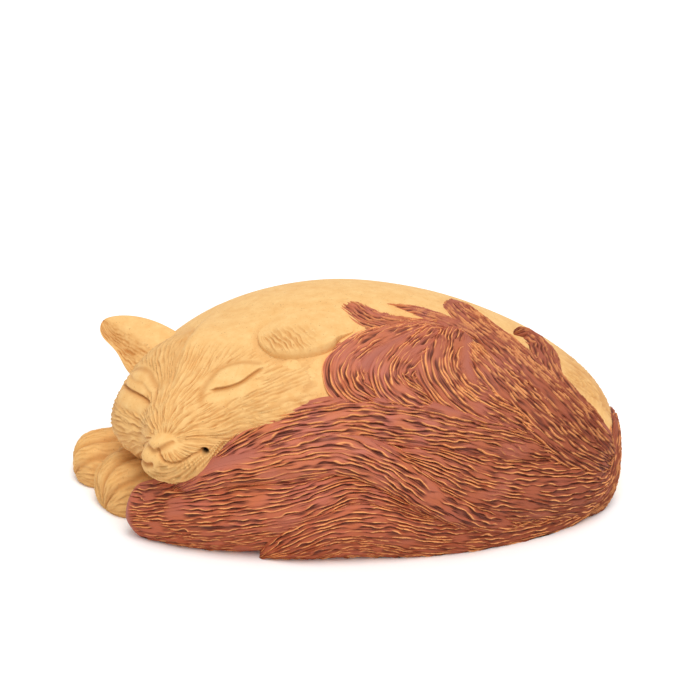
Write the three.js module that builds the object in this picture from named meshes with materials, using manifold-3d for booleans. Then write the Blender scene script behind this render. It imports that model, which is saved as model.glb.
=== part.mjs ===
// A sleeping cat in two-tone stoneware, curled round so that its long tail fans over the front.
// The body is a hollow dome on a clay base, and the head, ears, forelegs and tail locks are luted on.
// Millimetres, +X from the head end to the rump, +Y to the back, +Z up, origin under the middle.
import * as THREE from "three";
import { ParametricGeometry } from "three/addons/geometries/ParametricGeometry.js";
import { mergeVertices } from "three/addons/utils/BufferGeometryUtils.js";
import Module from "manifold-3d";

const wasm = await Module();
wasm.setup();

// Driving dimensions of the whole figurine.
const figurineLength = 109;
const frontDepth = 36.5; // middle line to the front of the tail
const backDepth = 40; // middle line to the back of the body
const middleHeight = 5; // the dome is widest this far above the table
const backRise = 33.2; // from the widest level up to the top of the back

// Clay that the tail adds over the body, at the front, at the rump end and on top.
const tailFront = 4.2;
const tailEnd = 3;
const tailTop = 1.5;

// Walls, joints and openings.
const gap = 0.3; // luted joint between two pieces
const bodyWall = 4;
const headWall = 3.5;
const plateThickness = 4;
const firingHole = 8;
const neckPort = 10;
const mouthVent = 1.2;

// Head: its own half sizes, how it is turned, and where the face comes up to the dome.
const skullHalf = { x: 21, y: 15, z: 14 };
const muzzleHalf = { x: 10.5, y: 9, z: 9 };
const muzzleCentre = { x: 0.5, y: -9.5, z: -11 };
const headTurn = { yaw: -35, pitch: -40, roll: -18 };
const faceOnDome = { along: -0.55, around: 58 };
const faceDepth = 13; // from between the eyes back to the middle of the skull
const mouthCorner = { x: 7, y: -16, z: -13 };
const neckAim = { x: 14, y: 14, z: -8 };

// Standing ear on the head, as its root, its tip and its half sizes.
const earRoot = { x: -16.5, y: -2.5, z: 10.5 };
const earTip = { x: -26.5, y: -5, z: 16 };
const earHalfWidth = 6;
const earHalfThickness = 2.6;

// Forelegs: half sizes of one folded paw, and how far the front one is tucked in under the chin.
const pawHalf = { x: 10, y: 7.4, z: 6.8 };
const pawLift = 3.4;
const rearPawBack = 0.5;
const frontPawStep = { x: 4.6, y: 12.4 };
const frontPawTurn = 22;

// Tail root: a round cap over the rump end.
const rootHalf = { x: 12, y: 19, z: 19 };
const rootMiddle = { forward: 6, lift: 6 };

// Facets: how finely each kind of form is divided.
const massSteps = [18, 12];
const domeSteps = [30, 20];
const cavitySteps = [18, 12];
const lockSteps = 14;
const topSteps = 5;
const bottomSteps = 3;
const weld = 1e-3;

const buffClay = { color: 0xd9a565, roughness: 0.8, metalness: 0 };
const redClay = { color: 0x95512f, roughness: 0.78, metalness: 0 };

// The tail's locks, uppermost first. A path's points are [along, around]: along runs from -1 at the head
// end to 1 at the rump, and around turns from 0 at the front to 90 at the top. width is half the widest
// place, fullAt says how far along the path that is, and proud is extra height over the dome.
const locks = [
  { name: "tail_upper_front", width: 4.6, fullAt: 0.45,
    path: [[-0.47, 29], [-0.25, 38], [0.05, 40], [0.39, 36], [0.74, 29]] },
  { name: "tail_middle_front", width: 4.2, fullAt: 0.45,
    path: [[-0.48, 20], [-0.27, 25], [0, 29], [0.17, 23], [0.44, 7], [0.63, -3]] },
  { name: "tail_bottom_leaf", width: 8.5, fullAt: 0.4,
    path: [[-0.3, -8], [-0.03, 4], [0.13, 4], [0.32, -1], [0.75, -7], [0.9, -8]] },
  { name: "tail_lower_front", width: 9, fullAt: 0.35,
    path: [[-0.76, -2], [-0.53, 5], [-0.32, 8], [-0.12, 13], [0.05, 17]] },
  { name: "tail_crest", width: 4.6, fullAt: 0.5,
    path: [[0.38, 99], [0.48, 85], [0.59, 70], [0.73, 55], [0.9, 34]] },
  { name: "tail_ridge", width: 5, fullAt: 0.45,
    path: [[0.44, 66], [0.55, 54], [0.67, 41], [0.82, 28], [0.92, 20]] },
  { name: "tail_curl_inner", width: 5.4, fullAt: 0.45,
    path: [[0.35, 75], [0.33, 63], [0.36, 54], [0.46, 46], [0.6, 39]] },
  { name: "tail_curl_middle", width: 3.6, fullAt: 0.55,
    path: [[0.3, 76], [0.21, 66], [0.15, 58], [0.16, 51], [0.25, 45]] },
  { name: "tail_curl_outer", width: 4, fullAt: 0.5,
    path: [[0.27, 81], [0.16, 71], [0.04, 62], [0, 54], [0.08, 46]] },
  { name: "tail_right_middle", width: 7, fullAt: 0.5,
    path: [[0.14, 30], [0.32, 25], [0.49, 18], [0.67, 13], [0.9, 12]] },
  { name: "tail_tip_hook", width: 2.6, fullAt: 0.5,
    path: [[0.63, 93], [0.72, 97], [0.76, 78], [0.8, 60], [0.88, 50]] },
  { name: "tail_tip_left", width: 2.6, fullAt: 0.5,
    path: [[0.02, 84], [0.09, 78], [0.21, 77], [0.31, 81]] },
  { name: "tail_tip_thin", width: 2, fullAt: 0.6,
    path: [[0.13, 90], [0.22, 90], [0.31, 88], [0.4, 80]] },
];
const foldedEar = { name: "ear_right", width: 5.6, fullAt: 0.5, proud: 0.8,
  path: [[-0.31, 70], [-0.19, 75], [-0.05, 74], [0.05, 70]] };

const bodyAxes = {
  end: figurineLength / 2 - tailEnd,
  front: frontDepth - tailFront,
  back: backDepth,
  rise: backRise,
};
const tailAxes = {
  end: figurineLength / 2,
  front: frontDepth,
  back: backDepth + tailTop,
  rise: backRise + tailTop,
};

// Half sizes of a dome that stands a fixed distance outside another.
function grown(axes, by) {
  return {
    end: axes.end + by,
    front: axes.front + by,
    back: axes.back + by,
    rise: axes.rise + by,
  };
}

// Half sizes part of the way from one dome to another.
function between(inner, outer, share) {
  return {
    end: THREE.MathUtils.lerp(inner.end, outer.end, share),
    front: THREE.MathUtils.lerp(inner.front, outer.front, share),
    back: THREE.MathUtils.lerp(inner.back, outer.back, share),
    rise: THREE.MathUtils.lerp(inner.rise, outer.rise, share),
  };
}

// A point of a dome: an egg lying along X, deeper at the back than at the front.
function domePoint(along, turn, axes, target = new THREE.Vector3()) {
  const ring = Math.sqrt(Math.max(0, 1 - along * along));
  const forward = Math.cos(turn);
  const depth = forward > 0 ? axes.front : axes.back;
  return target.set(
    along * axes.end,
    -ring * forward * depth,
    middleHeight + ring * Math.sin(turn) * axes.rise,
  );
}

// The point of one dome that lies where a nearby point is, seen from the middle line.
function ontoDome(point, from, onto, target) {
  const along = THREE.MathUtils.clamp(point.x / from.end, -1, 1);
  const depth = point.y < 0 ? from.front : from.back;
  const turn = Math.atan2((point.z - middleHeight) / from.rise, -point.y / depth);
  return domePoint(along, turn, onto, target);
}

// A closed geometry as a solid, with its shared vertices merged and collapsed triangles left out.
function solidOf(geometry) {
  const bare = new THREE.BufferGeometry();
  bare.setAttribute("position", geometry.getAttribute("position"));
  bare.setIndex(geometry.getIndex());
  const merged = mergeVertices(bare, weld);
  const corners = merged.index.array;
  const kept = [];
  for (let i = 0; i < corners.length; i += 3) {
    const [a, b, c] = corners.slice(i, i + 3);
    if (a !== b && b !== c && c !== a) kept.push(a, b, c);
  }
  return new wasm.Manifold(new wasm.Mesh({
    numProp: 3,
    vertProperties: merged.attributes.position.array,
    triVerts: new Uint32Array(kept),
  }));
}

// The largest body of a solid: the small offcuts that a trim leaves are thrown away.
function mainBody(solid) {
  return solid.decompose().sort((a, b) => b.volume() - a.volume())[0];
}

// A solid with a list of other solids cut out of it.
function cutBy(solid, cutters) {
  return cutters.reduce((left, cutter) => left.subtract(cutter), solid);
}

// A whole egg with the given half sizes, poles at its two ends.
function eggSolid(axes, steps = domeSteps) {
  return solidOf(new ParametricGeometry((u, v, target) => {
    const turn = (u % 1) * 2 * Math.PI;
    domePoint(Math.cos(v * Math.PI), turn, axes, target);
  }, ...steps));
}

// A block between two levels, wide enough to take in the whole figurine.
function slab(low, high) {
  const size = 2 * (figurineLength + backDepth);
  const block = new THREE.BoxGeometry(size, size, high - low);
  return solidOf(block.translate(0, 0, (low + high) / 2));
}

// A lock of fur laid over the body: a rounded strip that follows its path and tapers to both ends.
// A cutter for its neighbours is the same strip, wider by a clearance and right through the tail's clay:
// heights are shares of the clay's thickness, 0 on the body and 1 at the top.
const cutterTop = 2;
const cutterBottom = -1;
function lockSolid({ path, width, fullAt, proud = 0 }, clearance = 0) {
  const line = new THREE.CatmullRomCurve3(path.map(([along, around]) => (
    new THREE.Vector3(along, THREE.MathUtils.degToRad(around), 0))), false, "centripetal");
  const under = grown(bodyAxes, gap);
  const over = grown(tailAxes, proud);
  const cutter = clearance > 0;
  const skew = Math.log(0.5) / Math.log(fullAt);
  const small = 1e-3;
  const onPath = (u) => {
    const at = line.getPoint(THREE.MathUtils.clamp(u, 0, 1));
    return domePoint(at.x, at.y, tailAxes);
  };
  const sectionSteps = topSteps + bottomSteps + 2;
  return solidOf(new ParametricGeometry((v, u, target) => {
    const middle = onPath(u);
    const ahead = onPath(u + small).sub(onPath(u - small)).normalize();
    const outward = new THREE.Vector3(
      middle.x / tailAxes.end ** 2,
      middle.y / (middle.y < 0 ? tailAxes.front : tailAxes.back) ** 2,
      (middle.z - middleHeight) / tailAxes.rise ** 2,
    ).normalize();
    const aside = new THREE.Vector3().crossVectors(outward, ahead).normalize();
    const taper = Math.sqrt(Math.max(0, 1 - Math.abs(2 * u ** skew - 1) ** 2.2));
    const step = Math.round(v * sectionSteps) % sectionSteps;
    const onTop = step <= topSteps;
    const across = onTop
      ? Math.cos(Math.PI * step / topSteps)
      : 2 * (step - topSteps - 1) / bottomSteps - 1;
    const dome = Math.sqrt(Math.max(0, 1 - Math.abs(across) ** 3)) * taper;
    const share = cutter ? (onTop ? cutterTop : cutterBottom) : (onTop ? dome : 0);
    middle.addScaledVector(aside, across * (width + clearance) * taper);
    middle.addScaledVector(ahead, clearance * (2 * u - 1));
    ontoDome(middle, tailAxes, between(under, over, share), target);
  }, sectionSteps, lockSteps));
}

// A rounded mass with the given half sizes, placed by a matrix and grown by a clearance.
function mass(half, centre, place, clearance = 0) {
  const ball = new THREE.SphereGeometry(1, ...massSteps);
  ball.scale(half.x + clearance, half.y + clearance, half.z + clearance);
  ball.translate(centre.x, centre.y, centre.z);
  return solidOf(ball.applyMatrix4(place));
}

// A round rod between two points, used to open a port or a vent.
function rod(from, to, diameter, place) {
  const start = new THREE.Vector3(from.x, from.y, from.z).applyMatrix4(place);
  const end = new THREE.Vector3(to.x, to.y, to.z).applyMatrix4(place);
  const span = end.clone().sub(start);
  const cylinder = new THREE.CylinderGeometry(diameter / 2, diameter / 2, span.length(), 12);
  const up = new THREE.Vector3(0, 1, 0);
  const aim = new THREE.Quaternion().setFromUnitVectors(up, span.clone().normalize());
  const middle = start.addScaledVector(span, 0.5);
  return solidOf(cylinder.applyMatrix4(new THREE.Matrix4().compose(middle, aim, new THREE.Vector3(1, 1, 1))));
}

// The head's own frame: x to its left cheek, -y out of the face, z to the crown.
function headFrame() {
  const { yaw, pitch, roll } = headTurn;
  const turn = new THREE.Euler(
    THREE.MathUtils.degToRad(pitch),
    THREE.MathUtils.degToRad(roll),
    THREE.MathUtils.degToRad(yaw),
    "ZXY",
  );
  const facing = new THREE.Quaternion().setFromEuler(turn);
  const around = THREE.MathUtils.degToRad(faceOnDome.around);
  const centre = domePoint(faceOnDome.along, around, tailAxes);
  centre.add(new THREE.Vector3(0, faceDepth, 0).applyQuaternion(facing));
  return new THREE.Matrix4().compose(centre, facing, new THREE.Vector3(1, 1, 1));
}

// The head's outer form, the skull and the muzzle in one.
function headForm(place, clearance = 0) {
  const middle = { x: 0, y: 0, z: 0 };
  return mass(skullHalf, middle, place, clearance).add(mass(muzzleHalf, muzzleCentre, place, clearance));
}

// The standing ear, a flat leaf that stands on the head.
function earForm(headPlace, clearance = 0) {
  const root = new THREE.Vector3(earRoot.x, earRoot.y, earRoot.z);
  const tip = new THREE.Vector3(earTip.x, earTip.y, earTip.z);
  const rise = tip.clone().sub(root);
  const reach = rise.length();
  const upward = rise.normalize();
  const across = new THREE.Vector3(0, 1, 0).cross(upward).normalize();
  const thickness = new THREE.Vector3().crossVectors(across, upward);
  const stand = new THREE.Matrix4().makeBasis(across, upward, thickness).setPosition(root);
  const half = { x: earHalfWidth, y: reach, z: earHalfThickness };
  return mass(half, { x: 0, y: 0, z: 0 }, headPlace.clone().multiply(stand), clearance);
}

// A folded foreleg lying on the table with its paw at the head end.
function pawForm(step, turn, clearance = 0) {
  const place = new THREE.Matrix4().makeRotationZ(THREE.MathUtils.degToRad(turn));
  place.setPosition(
    pawHalf.x + step.x - figurineLength / 2,
    rearPawBack - step.y,
    pawLift,
  );
  return mass(pawHalf, { x: 0, y: 0, z: 0 }, place, clearance);
}

const aboveTable = slab(0, middleHeight + backRise + figurineLength);
const abovePlate = slab(plateThickness + gap, middleHeight + backRise + figurineLength);
const headPlace = headFrame();
const pieces = new Map();

// Tail locks, each trimmed where a lock above it lies.
const tailCutters = [];
for (const lock of locks) {
  const strip = cutBy(lockSolid(lock), tailCutters);
  pieces.set(lock.name, { solid: mainBody(strip.intersect(aboveTable)), clay: redClay });
  tailCutters.push(lockSolid(lock, gap));
}

// Tail root, a cap over the rump that the locks run into.
const rootCentre = { x: figurineLength / 2, y: -rootMiddle.forward, z: rootMiddle.lift };
const capReach = mass(rootHalf, rootCentre, new THREE.Matrix4());
const cap = cutBy(eggSolid(tailAxes).intersect(capReach), [eggSolid(grown(bodyAxes, gap)), ...tailCutters]);
pieces.set("tail_root", { solid: mainBody(cap.intersect(aboveTable)), clay: redClay });

// Right ear, folded flat on the head.
const foldedCutter = lockSolid(foldedEar, gap);
pieces.set(foldedEar.name, { solid: mainBody(cutBy(lockSolid(foldedEar), tailCutters)), clay: buffClay });

// Head, hollow, with a port into the body and a vent at each corner of the mouth.
const skullHollow = {
  x: skullHalf.x - headWall,
  y: skullHalf.y - headWall,
  z: skullHalf.z - headWall,
};
const skullMiddle = { x: 0, y: 0, z: 0 };
const vents = [-1, 1].map((side) => (
  rod(skullMiddle, { ...mouthCorner, x: side * mouthCorner.x, y: 1.3 * mouthCorner.y, z: 1.3 * mouthCorner.z },
    mouthVent, headPlace)));
const hollows = [
  mass(skullHollow, skullMiddle, headPlace),
  rod(skullMiddle, neckAim, neckPort, headPlace),
  ...vents,
];
const head = cutBy(headForm(headPlace), [...tailCutters, foldedCutter, ...hollows]);
pieces.set("head_shell", { solid: mainBody(head.intersect(aboveTable)), clay: buffClay });

// Left ear, standing on the head.
const ear = earForm(headPlace).subtract(headForm(headPlace, gap));
pieces.set("ear_left", { solid: mainBody(ear), clay: buffClay });

// Forelegs, side by side under the chin.
const rearStep = { x: 0, y: 0 };
const legCutters = [headForm(headPlace, gap), ...tailCutters];
const rearLeg = cutBy(pawForm(rearStep, 0), legCutters);
pieces.set("foreleg_left", { solid: mainBody(rearLeg.intersect(aboveTable)), clay: buffClay });
const frontLeg = cutBy(pawForm(frontPawStep, frontPawTurn), [pawForm(rearStep, 0, gap), ...legCutters]);
pieces.set("foreleg_right", { solid: mainBody(frontLeg.intersect(aboveTable)), clay: buffClay });

// Body, a hollow dome open underneath, cut away where the head, an ear and the forelegs sit in it.
const seated = [
  headForm(headPlace, gap),
  earForm(headPlace, gap),
  pawForm(rearStep, 0, gap),
  pawForm(frontPawStep, frontPawTurn, gap),
];
const dome = eggSolid(bodyAxes).subtract(eggSolid(grown(bodyAxes, -bodyWall), cavitySteps));
pieces.set("body_shell", { solid: mainBody(cutBy(dome, seated).intersect(abovePlate)), clay: buffClay });

// Base, a flat slab under the body with a hole that lets the kiln air out.
const holeRod = new THREE.CylinderGeometry(firingHole / 2, firingHole / 2, 4 * plateThickness, 24);
holeRod.rotateX(Math.PI / 2);
const plate = cutBy(eggSolid(bodyAxes).intersect(slab(0, plateThickness)), [solidOf(holeRod), ...seated]);
pieces.set("base_plate", { solid: mainBody(plate), clay: buffClay });

// A solid as a named mesh with flat facets.
function meshOf(name, { solid, clay }) {
  const { numProp, vertProperties, triVerts } = solid.getMesh();
  const geometry = new THREE.BufferGeometry();
  const buffer = new THREE.InterleavedBuffer(vertProperties, numProp);
  geometry.setAttribute("position", new THREE.InterleavedBufferAttribute(buffer, 3, 0));
  geometry.setIndex(new THREE.BufferAttribute(triVerts, 1));
  const mesh = new THREE.Mesh(geometry, new THREE.MeshStandardMaterial({ ...clay, flatShading: true }));
  mesh.name = name;
  return mesh;
}

const figurine = new THREE.Group();
for (const [name, piece] of pieces) figurine.add(meshOf(name, piece));

// The origin is under the middle of the whole figurine.
const reach = new THREE.Box3().setFromObject(figurine);
const middle = reach.getCenter(new THREE.Vector3());
figurine.position.set(-middle.x, -middle.y, -reach.min.z);

const cat = new THREE.Group();
cat.name = "ceramic_cat";
cat.add(figurine);

export default cat;
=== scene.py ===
# A sleeping cat in two-tone stoneware: smooth buff body and face, and a tail of carved red-brown locks.
# Lengths below are in millimetres and angles in degrees unless a note says otherwise.
import math
import bpy
import numpy as np
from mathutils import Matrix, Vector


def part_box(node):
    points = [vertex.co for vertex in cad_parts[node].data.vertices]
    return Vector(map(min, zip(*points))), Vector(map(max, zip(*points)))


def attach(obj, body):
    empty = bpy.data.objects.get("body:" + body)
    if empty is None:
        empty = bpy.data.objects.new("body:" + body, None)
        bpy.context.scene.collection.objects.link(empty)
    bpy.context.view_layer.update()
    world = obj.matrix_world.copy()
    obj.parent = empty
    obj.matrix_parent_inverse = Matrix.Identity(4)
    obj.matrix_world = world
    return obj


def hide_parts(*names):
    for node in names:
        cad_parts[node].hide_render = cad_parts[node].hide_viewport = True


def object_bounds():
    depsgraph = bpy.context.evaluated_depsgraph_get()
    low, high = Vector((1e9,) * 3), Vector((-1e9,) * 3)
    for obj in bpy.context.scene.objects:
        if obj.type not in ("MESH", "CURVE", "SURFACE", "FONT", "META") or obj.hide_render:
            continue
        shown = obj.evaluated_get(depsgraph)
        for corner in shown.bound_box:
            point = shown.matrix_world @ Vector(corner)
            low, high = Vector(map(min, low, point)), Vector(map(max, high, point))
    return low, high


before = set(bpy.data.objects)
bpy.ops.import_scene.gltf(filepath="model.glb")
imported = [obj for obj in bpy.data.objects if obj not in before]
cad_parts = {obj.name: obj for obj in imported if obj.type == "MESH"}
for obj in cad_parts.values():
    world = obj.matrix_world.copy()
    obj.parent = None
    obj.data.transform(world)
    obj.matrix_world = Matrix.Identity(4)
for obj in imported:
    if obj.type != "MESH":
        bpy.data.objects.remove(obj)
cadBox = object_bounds()
mm = 0.001


# Corners of a box given in metres, each divided by 0.001.
def inMillimetres(box):
    return [np.array(corner) / mm for corner in box]


# 0 at low, 1 at high and level at both ends: t²(3 - 2t), with t the share of the way from low to high.
def smoothStep(low, high, value):
    t = np.clip((value - low) / (high - low), 0, 1)
    return t * t * (3 - 2 * t)


# Bell of height 1: exp(-((value - centre) / width)²).
def bump(value, centre, width):
    return np.exp(-((value - centre) / width) ** 2)


# Gradient noise: every lattice corner has a seeded unit slope, and the four corners' planes blend smoothly.
# Whole numbers are mixed into a slope's direction by large odd factors and shifts.
def latticeNoise(x, y, seed):
    x0 = np.floor(x).astype(np.int64)
    y0 = np.floor(y).astype(np.int64)
    fx = x - x0
    fy = y - y0

    def corner(ix, iy, dx, dy):
        mixed = (ix * 374761393 + iy * 668265263 + seed * 974634777) & 0xFFFFFFFF
        mixed = ((mixed ^ (mixed >> 13)) * 1274126177) & 0xFFFFFFFF
        angle = (mixed ^ (mixed >> 16)) / 0xFFFFFFFF * 2 * np.pi
        return np.cos(angle) * dx + np.sin(angle) * dy

    wx = fx ** 3 * (fx * (6 * fx - 15) + 10)
    wy = fy ** 3 * (fy * (6 * fy - 15) + 10)
    near = corner(x0, y0, fx, fy) * (1 - wx) + corner(x0 + 1, y0, fx - 1, fy) * wx
    far = corner(x0, y0 + 1, fx, fy - 1) * (1 - wx) + corner(x0 + 1, y0 + 1, fx - 1, fy - 1) * wx
    return 1.5 * (near * (1 - wy) + far * wy)  # brings the usual range to about -1 to 1


# The dome that everything lies on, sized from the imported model.
domeShape = {
    "backShare": 0.524,       # part of the whole depth that lies behind the middle line
    "widestShare": 0.131,     # the body is widest at this share of its height
    "tailClay": [1.6, 4.2, 1.5, 1.5],  # clay the tail adds at the rump end, front, back and top
    "headFullness": 0.12,     # how much fuller than an egg the two ends are
    "rumpFullness": 0.42,
    "skinMargin": 0.15,       # the skin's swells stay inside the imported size
    "headDraw": 8.3,          # how far the head end is drawn in
    "pawHollow": 7.0,         # how far the folded paws press into the body's lower left end
    "pawHollowX": (-28, -38),  # the hollow deepens from the first place to the second
    "pawHollowY": (4, -4),
    "pawHollowZ": (17, 10),
    "hump": 0.9,              # height, middle and length of the hump of the back
    "humpAt": -6,
    "humpLength": 22,
    "humpRise": (8, 26),      # it rises between these heights above the widest place
    "swell": 0.12,            # height and size of the low swells of the hand-pressed skin
    "swellSize": 16,
    "swellSeed": 5,
}
wholeLow, wholeHigh = inMillimetres(cadBox)
_, bodyHigh = inMillimetres(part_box("body_shell"))
spineY = wholeHigh[1] - domeShape["backShare"] * (wholeHigh[1] - wholeLow[1])
middleHeight = domeShape["widestShare"] * bodyHigh[2]
tailClay = np.array(domeShape["tailClay"])
bodyAxes = np.array([
    wholeHigh[0] - tailClay[0],
    spineY - wholeLow[1] - tailClay[1],
    wholeHigh[1] - spineY - domeShape["skinMargin"],
    bodyHigh[2] - middleHeight,
])  # half length, front depth, back depth and height above the widest place
tailAxes = bodyAxes + tailClay
print("dome", np.round(bodyAxes, 2), "spine", round(spineY, 2), "middle", round(middleHeight, 2))


# The ends are fuller than an egg's: with q = |x| / end, x grows by a share of itself, which is
# headFullness * (1 - q²) at the head and rumpFullness * (1 - q²) q⁶ at the rump.
def fuller(x):
    q = np.clip(np.abs(x) / tailAxes[0], 0, 1)
    share = np.where(x < 0, domeShape["headFullness"], domeShape["rumpFullness"] * q ** 6)
    return x * (1 + share * (1 - q ** 2))


# The reverse of fuller, read off between 481 even places.
def lessFull(x):
    plain = np.linspace(-1.2, 1.2, 481) * tailAxes[0]
    return np.interp(x, fuller(plain), plain)


# Half length of the body: the head end is drawn in behind the face and paws.
def bodyEnd(x):
    return bodyAxes[0] - np.where(x < 0, domeShape["headDraw"], 0)


# How far the skin is set back behind the folded paws: the depth, times one smooth step for each direction.
def pawHollow(points):
    x, y, z = points[..., 0], points[..., 1], points[..., 2]
    left = smoothStep(*domeShape["pawHollowX"], x) * smoothStep(*domeShape["pawHollowY"], y)
    return domeShape["pawHollow"] * left * smoothStep(*domeShape["pawHollowZ"], z)


# Hump of the back, a bell along x that fades in with height, and the low swells of the skin.
def bodySwell(points):
    hump = domeShape["hump"] * bump(points[..., 0], domeShape["humpAt"], domeShape["humpLength"])
    low, high = domeShape["humpRise"]
    rising = smoothStep(middleHeight + low, middleHeight + high, points[..., 2])
    size = domeShape["swellSize"]
    pressed = latticeNoise(points[..., 0] / size, points[..., 1] / size, domeShape["swellSeed"])
    return hump * rising + domeShape["swell"] * pressed


# Point of an egg that lies along X: x = along * end, and a ring of radius sqrt(1 - along²) about the
# middle line, stretched to the front or back depth and to the height.
def domePoint(along, turn, axes):
    ring = np.sqrt(np.clip(1 - along ** 2, 0, None))
    depth = np.where(np.cos(turn) > 0, axes[1], axes[2])
    return np.stack([
        along * axes[0],
        spineY - ring * np.cos(turn) * depth,
        middleHeight + ring * np.sin(turn) * axes[3],
    ], -1)


# The reverse: along and turn of the ray from the middle line through a point near the egg.
def domePlace(points, axes):
    depth = np.where(points[..., 1] < spineY, axes[1], axes[2])
    along = points[..., 0] / axes[0]
    forward = (spineY - points[..., 1]) / depth
    up = (points[..., 2] - middleHeight) / axes[3]
    size = np.sqrt(along ** 2 + forward ** 2 + up ** 2)
    return along / size, np.arctan2(up, forward)


# Outward normal of the egg: each coordinate divided by its half size squared, made one long.
def domeNormal(points, axes):
    depth = np.where(points[..., 1] < spineY, axes[1], axes[2])
    slope = np.stack([
        points[..., 0] / axes[0] ** 2,
        (points[..., 1] - spineY) / depth ** 2,
        (points[..., 2] - middleHeight) / axes[3] ** 2,
    ], -1)
    return slope / np.linalg.norm(slope, axis=-1, keepdims=True)


# Catmull-Rom curve through given points, at count even steps of its own parameter.
def throughPoints(points, count):
    given = np.array(points, float)
    given = np.vstack([2 * given[0] - given[1], given, 2 * given[-1] - given[-2]])
    step = np.linspace(0, len(points) - 1 - 1e-9, count)
    first = step.astype(int)
    t = (step - first)[:, None]
    a, b, c, d = given[first], given[first + 1], given[first + 2], given[first + 3]
    squared = (2 * a - 5 * b + 4 * c - d) * t ** 2
    return 0.5 * (2 * b + (c - a) * t + squared + (3 * b - a - 3 * c + d) * t ** 3)


# A path over the dome: listed (along, around, half width) points, joined by a curve that is set out on the
# dome with the given axes and cut into equal steps. Gives the distance travelled, the whole length, the
# places, their half widths, and the direction across the path: outward normal x direction ahead.
def pathOverDome(path, axes, fineness, stations):
    fine = throughPoints(path, fineness)
    fine[:, 0] = lessFull(fine[:, 0] * tailAxes[0]) / tailAxes[0]
    middle = domePoint(fine[:, 0], np.radians(fine[:, 1]), axes)
    run = np.concatenate([[0], np.cumsum(np.linalg.norm(np.diff(middle, axis=0), axis=1))])
    travelled = np.linspace(0, run[-1], stations + 2)[1:-1]
    middle = np.stack([np.interp(travelled, run, middle[:, i]) for i in range(3)], -1)
    halfWidth = np.interp(travelled, run, fine[:, 2])
    ahead = np.gradient(middle, axis=0)
    ahead /= np.linalg.norm(ahead, axis=1, keepdims=True)
    return travelled, run[-1], middle, halfWidth, np.cross(domeNormal(middle, axes), ahead)


# Places round a flat section: s from 1 to -1 across the top, then back underneath, for every station.
def roundSection(across, bottomPoints, stations):
    s = np.concatenate([np.linspace(1, -1, across), np.linspace(-1, 1, bottomPoints + 2)[1:-1]])
    onTop = (np.arange(len(s)) < across)[None, :]
    return s[None, :] * np.ones((stations, 1)), onTop


strokeShape = {
    "places": [0, 0.1, 0.2, 0.42, 0.78, 0.93, 1],         # from just below one crest to the next
    "heights": [0, -0.85, -1, -0.8, -0.55, -0.2, 0],
    "crestWidth": 0.165,
    "uncut": -0.45,      # height of the clay where a stroke fades out
    "faintest": 0.15,    # part of a stroke's height that is left there
    "sway": 0.9,         # how far neighbouring strokes swing together
    "meeting": 0.42,     # how far single strokes lean until they meet, in pitches
    "roughness": 0.35,
}


# Carved fur: needle strokes one pitch apart that sway, meet and fade. Across the strokes the height drops
# steeply just under each crest and climbs back slowly: h(v), with v from 0 below one crest to 1 at the
# next. Gives the height, from -1 in the grooves to 0 on the crests, and how much each place is a crest.
def strands(along, across, seed, pitch, reach):
    def phaseAt(across):
        sway = strokeShape["sway"] * latticeNoise(along / (2.8 * reach), across / (4.5 * pitch), seed + 1)
        lean = strokeShape["meeting"] * latticeNoise(along / (0.6 * reach), across / (1.5 * pitch), seed)
        return (across + sway) / pitch + lean

    phase = phaseAt(across)
    slope = np.abs(phaseAt(across + 0.04) - phase) / 0.04
    v = 1 - (phase - np.floor(phase))
    away = np.minimum(v, 1 - v) / np.maximum(slope, 0.5 / pitch)
    height = np.interp(v, strokeShape["places"], strokeShape["heights"])
    height = height + strokeShape["roughness"] * latticeNoise(along / 2.6, across / (0.3 * pitch), seed + 5)
    fade = smoothStep(-0.62, -0.02, latticeNoise(along / (1.2 * reach), phase * 0.83, seed + 3))
    worn = 0.3 + 0.7 * smoothStep(-0.45, 0.15, latticeNoise(along / 2.2, phase * 1.3, seed + 7))
    uncut, faintest = strokeShape["uncut"], strokeShape["faintest"]
    height = uncut + (height - uncut) * (faintest + (1 - faintest) * fade)
    return height, np.exp(-(away / strokeShape["crestWidth"]) ** 2) * fade * worn


# Closed mesh from rings of points: each ring is joined to the next, and both ends close on a pole, which is
# the middle of the end ring unless poles says where. Marks are values for every point.
def ringMesh(name, rings, marks, poles=None):
    count, around = rings.shape[:2]
    poles = poles or (rings[0].mean(0), rings[-1].mean(0))
    points = np.vstack([rings.reshape(-1, 3), *poles]) * mm
    ring = np.arange(count - 1)[:, None] * around
    here = np.arange(around)[None, :]
    following = (here + 1) % around
    quads = np.stack([ring + here, ring + following, ring + around + following, ring + around + here], -1)
    quads = quads.reshape(-1, 4)
    last = (count - 1) * around
    spot = np.arange(around)
    after = (spot + 1) % around
    fans = np.vstack([
        np.stack([np.full(around, count * around), after, spot], -1),
        np.stack([np.full(around, count * around + 1), last + spot, last + after], -1),
    ])
    mesh = bpy.data.meshes.new(name)
    mesh.vertices.add(len(points))
    mesh.vertices.foreach_set("co", points.astype(np.float32).ravel())
    corners = np.concatenate([quads.ravel(), fans.ravel()])
    mesh.loops.add(len(corners))
    mesh.loops.foreach_set("vertex_index", corners.astype(np.int32))
    starts = np.concatenate([np.arange(len(quads)) * 4, len(quads) * 4 + np.arange(len(fans)) * 3])
    mesh.polygons.add(len(starts))
    mesh.polygons.foreach_set("loop_start", starts.astype(np.int32))
    mesh.polygons.foreach_set("use_smooth", np.ones(len(starts), bool))
    mesh.update(calc_edges=True)
    for mark, values in marks.items():
        attribute = mesh.attributes.new(mark, "FLOAT", "POINT")
        ends = [values[0].mean(), values[-1].mean()]
        attribute.data.foreach_set("value", np.concatenate([values.ravel(), ends]).astype(np.float32))
    piece = bpy.data.objects.new(name, mesh)
    bpy.context.scene.collection.objects.link(piece)
    return piece


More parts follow.
